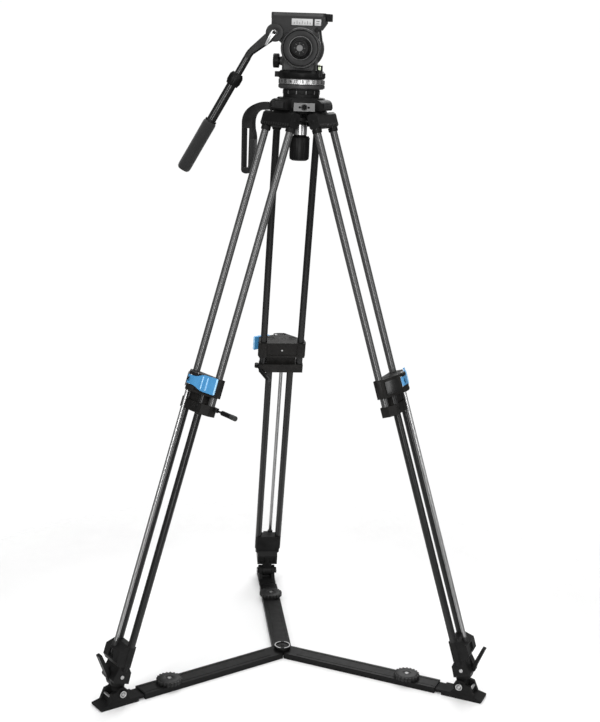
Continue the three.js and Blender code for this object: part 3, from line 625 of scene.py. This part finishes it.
# ---- crown and handle ----
def crown_details():
    for side in SIDES:
        place = ARM[side]
        ribs = [block(58.3, 58.9, -18 + 4.4 * k, -15.6 + 4.4 * k, 1198.4, 1207.4) for k in range(9)]
        bars = [block(58.2, 59.1, -21, 21, 1196.6, 1197.8), block(56.8, 58.6, -21, 21, 1208, 1209)]
        piece(f"{side}_shoulder_ribs", joined(*ribs, *bars), place, "crown", "grey", bevel=0.15)
    handle = Matrix.Rotation(HANDLE_AZIMUTH, 4, "Z")
    upright = handle @ Matrix.Rotation(math.pi / 2, 4, "X")
    arm = curve((58.4, 1204), (73, 1207), (88, 1205), (100, 1199))
    arm += curve((100, 1199), (116, 1192), (127, 1180), (127.4, 1162))[1:]
    arm += [(127.2, 1150), (110, 1150), (103, 1148)]
    arm += curve((104, 1160), (104, 1176), (98, 1185), (88, 1188)) + [(58.4, 1190)]
    outer = [(127.2, 1150), (126.4, 1070), (121.8, 1070), (122.6, 1150)]
    inner = [(110, 1150), (110.6, 1070), (103, 1070), (99.3, 1130), (100.6, 1140), (103, 1148)]
    foot = [(126.4, 1070)] + curve((126.4, 1064), (125.5, 1054.5), (104, 1054.5), (103.2, 1066))
    foot += [(103, 1070), (110.6, 1070), (121.8, 1070)]
    walls = [prism(outline, -8.9, 8.9) for outline in (arm, outer, inner, foot)]
    flange = block(58.5, 62.9, 1188.2, 1207.8, -11.9, 11.9)
    body = joined(*walls, flange)
    piece("handle_body", body, upright, "crown", "dark_grey", ["carry_handle"])
    pad = prism([(98.7, 1128), (107, 1128), (108, 1074), (102.6, 1070)], -9.7, 9.7)
    piece("handle_pad", pad, upright, "crown", "foam", bevel=1.2)
    boss = Matrix.Rotation(BOSS_AZIMUTH, 4, "Z")
    ring = lathe([(4.9, -0.2), (6.4, -0.2), (6.4, 0.25), (4.9, 0.25)], 32)
    piece("boss_ring", ring, facing(boss, 61, 0, 1199.5, (1, 0, 0)), "crown", "dark_grey")
    collar = lathe([(13.1, 1142), (14.2, 1143), (14.2, 1163), (13.1, 1164)], 48)
    piece("tiedown_collar", collar, CENTRE, "tiedown_knob", "silver")


# ---- head ----
def numbers(radius, low, size, count):
    """Numbers from 0 up, evenly spaced and bent round a ring."""
    shapes = []
    for k in range(count):
        text = bpy.data.curves.new("number", "FONT")
        text.body = str(k)
        text.size = size * MM
        text.offset = 0.22 * MM
        text.align_x = "CENTER"
        text.extrude = 0.12 * MM
        holder = bpy.data.objects.new("number", text)
        mesh = bpy.data.meshes.new_from_object(holder)
        middle = TURN * k / count
        points = []
        for vertex in mesh.vertices:
            angle = middle + vertex.co.x / MM / radius
            r = radius + vertex.co.z / MM
            points.append((r * math.cos(angle), r * math.sin(angle), low + vertex.co.y / MM))
        faces = [tuple(polygon.vertices) for polygon in mesh.polygons]
        shapes.append((points, faces))
        bpy.data.objects.remove(holder)
    return joined(*shapes)


def ticks(radius, low, high, count, width):
    shapes = []
    for k in range(count):
        top = high if k % 5 == 0 else low + (high - low) * 0.6
        shapes.append(ring_block(radius - 0.3, radius + 0.12, width, low, top, k / count))
    return joined(*shapes)


def scale_details():
    low, high = local_box("scale_ring", CENTRE)
    r = 46.6
    ring = lathe([(0, low.z), (r - 4, low.z), (r - 0.6, low.z + 2.2), (r - 0.4, low.z + 8),
                  (r - 1.2, low.z + 8.6), (r - 1.2, low.z + 9.4), (r - 0.2, low.z + 10),
                  (r - 0.2, high.z - 1.6), (r - 1.6, high.z), (0, high.z)], 96)
    piece("scale_ring_body", ring, CENTRE, "ball", "ring", ["scale_ring"])
    piece("scale_ticks", ticks(r - 0.2, low.z + 10.2, low.z + 13, 72, 0.9), CENTRE, "ball", "plastic")
    piece("scale_numbers", numbers(r - 0.2, low.z + 12.6, 8, 24), CENTRE, "ball", "plastic")
    band = lathe([(r - 0.8, low.z + 2), (r - 0.25, low.z + 2.4),
                  (r - 0.2, low.z + 8.2), (r - 0.8, low.z + 8.6)], 96)
    piece("scale_band", band, CENTRE, "ball", "grey")
    knurl = [ring_block(r - 0.4, r + 0.1, 1, low.z + 2.6, low.z + 7.8, k / 90) for k in range(90)]
    piece("scale_knurl", joined(*knurl), CENTRE, "ball", "grey")
    groove = lathe([(r - 1.3, low.z + 8.5), (r - 0.9, low.z + 8.5),
                    (r - 0.9, low.z + 9.5), (r - 1.3, low.z + 9.5)], 96)
    piece("scale_groove", groove, CENTRE, "ball", "plastic")


def neck_details():
    """Raised panels round the black neck under the scale ring."""
    panels = []
    for k in range(12):
        panels.append(ring_block(36.2, 37.4, 13, 1223.6, 1231.5, k / 12))
    piece("neck_panels", joined(*panels), CENTRE, "ball", "casting", bevel=0.4)
    slots = [ring_block(36.4, 37.5, 1.8, 1223.8, 1230.6, (k + 0.5) / 12) for k in range(12)]
    piece("neck_slots", joined(*slots), CENTRE, "ball", "boss", bevel=0.2)


def drum_details():
    """Rims of both drums, the face and dial of the near one, and the far dial's ribs and marks."""
    low, high = local_box("tilt_cradle", HEAD)
    near = facing(HEAD, 0, low.y, TILT_Z, (0, -1, 0))
    far = facing(HEAD, 0, high.y, TILT_Z, (0, 1, 0))
    for name, place in (("near", near), ("far", far)):
        rim = lathe([(33.6, -0.4), (39.2, -0.4), (39.2, 1.0), (38.2, 2.0), (35.2, 2.0), (33.6, 0.6)], 96)
        finish = "gloss" if name == "near" else "boss"
        piece(f"{name}_drum_rim", rim, place, "cradle", finish)
    face = lathe([(23.4, -0.3), (33.5, -0.3), (33.5, 0.3), (30, 0.7), (25, 0.7), (23.4, 0.3)], 96)
    piece("near_drum_face", face, near, "cradle", "dark_grey")
    halo = lathe([(21.9, -0.2), (22.9, -0.2), (22.9, 1.2), (21.9, 1.2)], 96)
    piece("near_drum_ring", halo, near, "cradle", "boss")
    dial_low, dial_high = local_box("tilt_drag_dial", HEAD)
    depth = dial_high.y - dial_low.y
    base = facing(HEAD, 0, dial_high.y, TILT_Z, (0, -1, 0))
    cap = lathe([(0, 0), (21.3, 0), (21.3, 3.5), (20.2, 5), (18.8, 5.6), (18.2, 12), (17.2, depth - 0.8),
                 (15.8, depth), (13.4, depth), (12.6, depth - 1), (0, depth - 1)], 96)
    piece("drag_dial_cap", cap, base, "tilt_drag_dial", "plastic", ["tilt_drag_dial"])
    grips = [ring_block(18.1, 18.9, 1.6, 6.2, depth - 2, k / 30) for k in range(30)]
    piece("drag_dial_grips", joined(*grips), base, "tilt_drag_dial", "plastic")
    badge = disc(6.2, depth - 1.1, depth - 0.5, 48, 0.3)
    piece("drag_dial_badge", badge, base, "tilt_drag_dial", "boss")
    bars = [ring_block(8, 11.4, 0.7, depth - 1.1, depth - 0.8, k / 8) for k in range(8)]
    piece("drag_dial_marks", joined(*bars), base, "tilt_drag_dial", "boss")
    wide_low, _ = local_box("counterbalance_dial", HEAD)
    back = facing(HEAD, 0, wide_low.y, TILT_Z, (0, 1, 0))
    ribs = [ring_block(22.7, 24.2, 2, 13.5, 22, k / 24) for k in range(24)]
    piece("counterbalance_grips", joined(*ribs), back, "counterbalance_dial", "plastic", bevel=0.3)
    marks = [ring_block(25.6, 28.6, 0.8, 9.7, 10.2, k / 10) for k in range(10)]
    piece("counterbalance_marks", joined(*marks), back, "counterbalance_dial", "pale_print_and_highlight")


def cradle_details():
    """The near cheek's blank plates, graduations, bolt and groove, the saddle, and the rosette's lever."""
    side = HEAD @ Matrix.Rotation(math.pi / 2, 4, "X") @ shift(z=35)
    plates = [block(x0, x1, 1356.8, 1369.2, -0.2, 0.45) for x0, x1 in ((-20, 21.5), (25.5, 38))]
    piece("cradle_plates", joined(*plates), side, "cradle", "pale_print_and_highlight", bevel=0.15)
    bars = []
    for k in range(7):
        left = 5.2 * k - 15
        bars.append(block(left, left + 0.8, 1359, 1365.5 if k % 2 else 1362.5, 0.4, 0.6))
    bars.append(block(28.5, 35, 1360, 1361, 0.4, 0.6))
    bars.append(block(28.5, 35, 1364.5, 1365.5, 0.4, 0.6))
    piece("cradle_marks", joined(*bars), side, "cradle", "plastic")
    piece("cradle_saddle", block(-4, 4, -24.6, 24.6, 1346.4, 1349.2), HEAD, "cradle", "plastic")
    screw("cradle_bolt", side @ shift(30, 1348.5, 0), 4.6, "cradle", "plastic", 0.9)
    slope = prism([(16, 1353), (19, 1353), (39, 1326), (36, 1326)], -0.1, 0.5)
    piece("cheek_groove", slope, side, "cradle", "gloss")
    lever = "pan_bar_clamp_lever"
    outline = [(-46.4, 1343.5), (-47.5, 1337.5), (-52.5, 1332.5), (-64.5, 1316.5), (-68.6, 1313.6),
               (-69.8, 1317.5), (-60.5, 1338), (-55.8, 1345.2), (-50.5, 1347.4)]
    upright = HEAD @ Matrix.Rotation(math.pi / 2, 4, "X")
    piece("clamp_lever_blade", prism(outline, 50.9, 57.4), upright, lever, "silver", [lever], bevel=1.4)
    bolt = facing(HEAD, ROSETTE_X, -57.4, ROSETTE_Z, (0, -1, 0))
    screw("clamp_lever_bolt", bolt, 3.6, lever, "plastic", 0.8)
    rosette = facing(HEAD, ROSETTE_X, -50.6, ROSETTE_Z, (0, -1, 0))
    ring = lathe([(7.5, -0.4), (15.5, -0.4), (17, 0.2), (17, 0.9), (15.6, 1.3), (9, 1.3), (7.5, 0.8)], 56)
    piece("rosette_cover", ring, rosette, "pan_bar", "dark_grey")


def plate_details():
    low, high = local_box("camera_plate", HEAD)
    outline = [(-40, -21), (24, -21), (27, -18), (27, 18), (24, 21), (-40, 21), (-43, 18), (-43, -18)]
    piece("plate_pad", prism(outline, high.z - 0.8, high.z - 0.02), HEAD, "plate", "sole", bevel=0.2)
    slots = [block(x, x + 26, -1.2, 1.2, high.z - 0.3, high.z - 0.01) for x in (-38, -4)]
    piece("plate_slots", joined(*slots), HEAD, "plate", "gloss")
    outline = [(-62.3, -21), (-57.2, -26.3), (40.7, -26.3), (45.8, -21),
               (45.8, 21), (40.7, 26.3), (-57.2, 26.3), (-62.3, 21)]
    piece("plate_band", prism(outline, low.z + 3, high.z - 1), HEAD, "plate", "grey", bevel=0.3)


def level_details():
    place = HEAD @ shift(38, -26, 1279.6)
    vial = lathe([(0, -0.2), (4.3, -0.2), (4.3, 1.2), (3.2, 2.6), (1.6, 3.2), (0, 3.4)], 40)
    piece("level_vial", vial, place, "pan_base", "vial")
    window = prism([(-2.6, -7.4), (2.6, -7.4), (2.6, -1.4), (-2.6, -1.4)], 5.4, 6.0)
    front = place @ Matrix.Rotation(math.pi / 2, 4, "X")
    piece("level_window", window, front, "pan_base", "vial", bevel=0.2)


def bar_details():
    """Tubes, foam grip and collars of the pan bar, turned round its axis, and the pan lock knob's grip."""
    axis = Vector(JOINTS["pan_bar_extension"]["axis"])
    origin = Vector(JOINTS["pan_bar_collar_turn"]["pos_m"])
    side = Vector((0, 0, 1)).cross(axis).normalized()
    bar = basis(side, axis.cross(side), axis, origin - axis * 58 * MM)

    def on_tube(tree):
        centre = tree.nodes.new("GeometryNodeInputPosition").outputs[0]
        offset = calculated(tree, "ShaderNodeVectorMath", "SUBTRACT", centre, origin)
        across = calculated(tree, "ShaderNodeVectorMath", "CROSS_PRODUCT", offset, axis)
        radius = calculated(tree, "ShaderNodeVectorMath", "LENGTH", across)
        return calculated(tree, "ShaderNodeMath", "LESS_THAN", radius, 10 * MM)

    keep("pan_grip", "foam", "gloss", on_tube)
    upper = lathe([(7.1, 12), (7.42, 12), (7.42, 213), (7.1, 213)], 48)
    piece("pan_bar_upper_tube", upper, bar, "pan_bar", "gloss")
    lower = lathe([(9.0, 53.2), (9.32, 53.2), (9.32, 157.6), (9.0, 157.6)], 48)
    piece("pan_bar_lower_tube", lower, bar, "pan_grip", "gloss")
    skin = lathe([(9.3, 157.6), (11.2, 157.6), (13.2, 160), (13.7, 163.5), (13.55, 210),
                  (13.7, 262), (12.8, 267), (10, 270.2), (9.3, 270.2)], 64)
    piece("grip_foam", skin, bar, "pan_grip", "foam")
    collar = lathe([(9.25, 153.5), (11.6, 154), (12, 155), (12, 157.4), (9.25, 157.4)], 56)
    piece("grip_collar", collar, bar, "pan_grip", "plastic")
    ribs = [ring_block(13.2, 14.2, 1.8, 54, 68, k / 16) for k in range(16)]
    piece("collar_ribs", joined(*ribs), bar, "pan_bar_collar", "plastic", bevel=0.3)
    knob = facing(HEAD, -58, 0, 1287.5, (-1, 0, 0))
    grips = [ring_block(13.3, 14.3, 2, -10.4, -0.8, k / 14) for k in range(14)]
    piece("pan_lock_grips", joined(*grips), knob, "pan_lock_knob", "plastic", bevel=0.3)
    piece("pan_lock_cap", disc(9, -0.2, 0.5, 40, 0.3), knob, "pan_lock_knob", "grey")


def on_boss(tree):
    """The flat front of the boss between the two near legs."""
    centre = tree.nodes.new("GeometryNodeInputPosition").outputs[0]
    outward = (math.cos(BOSS_AZIMUTH), math.sin(BOSS_AZIMUTH), 0)
    reach = calculated(tree, "ShaderNodeVectorMath", "DOT_PRODUCT", centre, outward)
    height = calculated(tree, "ShaderNodeVectorMath", "DOT_PRODUCT", centre, (0, 0, 1))
    front = calculated(tree, "ShaderNodeMath", "GREATER_THAN", reach, 60.9 * MM)
    upper = calculated(tree, "ShaderNodeMath", "GREATER_THAN", height, 1180 * MM)
    return calculated(tree, "ShaderNodeMath", "MULTIPLY", front, upper)


keep("crown", "casting", "boss", on_boss)
crown_details()
scale_details()
neck_details()
drum_details()
cradle_details()
plate_details()
level_details()
bar_details()


# ---- floor, light and camera ----
def floor():
    """A pale round floor that fades out into the white surround. Its profile is in metres."""
    shape = lathe([(0, 0), (0.4, 0), (1.0, 0), (1.6, 0), (2.4, 0), (0, -0.001)], 96)
    points = [Vector(point) for point in shape[0]]
    mesh = bpy.data.meshes.new("floor")
    mesh.from_pydata(points, [], shape[1])
    made = bpy.data.objects.new("floor", mesh)
    bpy.context.scene.collection.objects.link(made)
    paint = Shader("floor_paint", grey(0.9), 0.8)
    place = paint.coordinates((0.001, 0.001, 0.001))
    paint.tint(paint.noise(place, 3), grey(0.9), grey(0.93))
    length = paint.node("VectorMath", operation="LENGTH")
    paint.link(place, length.inputs[0])
    fade = paint.node("MapRange", interpolation_type="SMOOTHSTEP")
    fade.inputs["From Min"].default_value = 0.5
    fade.inputs["From Max"].default_value = 1.25
    fade.inputs["To Min"].default_value = 1.0
    fade.inputs["To Max"].default_value = 0.0
    paint.link(length.outputs["Value"], fade.inputs["Value"])
    paint.link(fade.outputs["Result"], paint.shader.inputs["Alpha"])
    mesh.materials.append(paint.material)


def softbox(name, place, target, width, height, power):
    light = bpy.data.lights.new(name, "AREA")
    light.shape = "RECTANGLE"
    light.size = width
    light.size_y = height
    light.energy = power
    made = bpy.data.objects.new(name, light)
    made.location = place
    made.rotation_euler = (Vector(target) - Vector(place)).to_track_quat("-Z", "Y").to_euler()
    bpy.context.scene.collection.objects.link(made)


def sky():
    """A white surround. It lights the object less than it shows, so that dark parts keep their depth."""
    world = bpy.data.worlds.new("studio")
    world.use_nodes = True
    tree = world.node_tree
    background = tree.nodes["Background"]
    background.inputs["Color"].default_value = (1, 1, 1, 1)
    path = tree.nodes.new("ShaderNodeLightPath")
    level = tree.nodes.new("ShaderNodeMapRange")
    level.inputs["To Min"].default_value = 0.2
    level.inputs["To Max"].default_value = 1.02
    tree.links.new(path.outputs["Is Camera Ray"], level.inputs["Value"])
    tree.links.new(level.outputs["Result"], background.inputs["Strength"])
    bpy.context.scene.world = world
    bpy.context.scene.view_settings.view_transform = "Standard"


def camera():
    """Level with the head, 2.7 m in front, looking down at the middle of the legs."""
    pitch, yaw, roll = (math.radians(angle) for angle in (13.296, 0.206, 2.001))
    forward = Vector((math.sin(yaw) * math.cos(pitch), math.cos(yaw) * math.cos(pitch), -math.sin(pitch)))
    level = Vector((math.cos(yaw), -math.sin(yaw), 0))
    upright = level.cross(forward)
    right = math.cos(roll) * level + math.sin(roll) * upright
    up = math.cos(roll) * upright - math.sin(roll) * level
    lens = bpy.data.cameras.new("camera")
    lens.lens = 64.67
    lens.shift_x = 0.0046
    made = bpy.data.objects.new("camera", lens)
    made.matrix_world = basis(right, up, -forward, (0, -2.665, 1.301))
    bpy.context.scene.collection.objects.link(made)
    bpy.context.scene.camera = made


floor()
sky()
softbox("front", (0.1, -3.4, 1.5), (0, 0, 0.7), 0.7, 2.6, 66)
softbox("key", (-1.9, -2.6, 2.4), (0, 0, 0.8), 0.8, 2.2, 40)
softbox("fill", (2.4, -2.0, 1.6), (0, 0, 0.8), 0.8, 2.4, 25)
softbox("top", (0, 0.3, 3.4), (0, 0, 0.5), 2.2, 2.2, 75)
softbox("rim", (0.6, 2.8, 2.4), (0, 0, 0.9), 2.0, 1.6, 40)
camera()
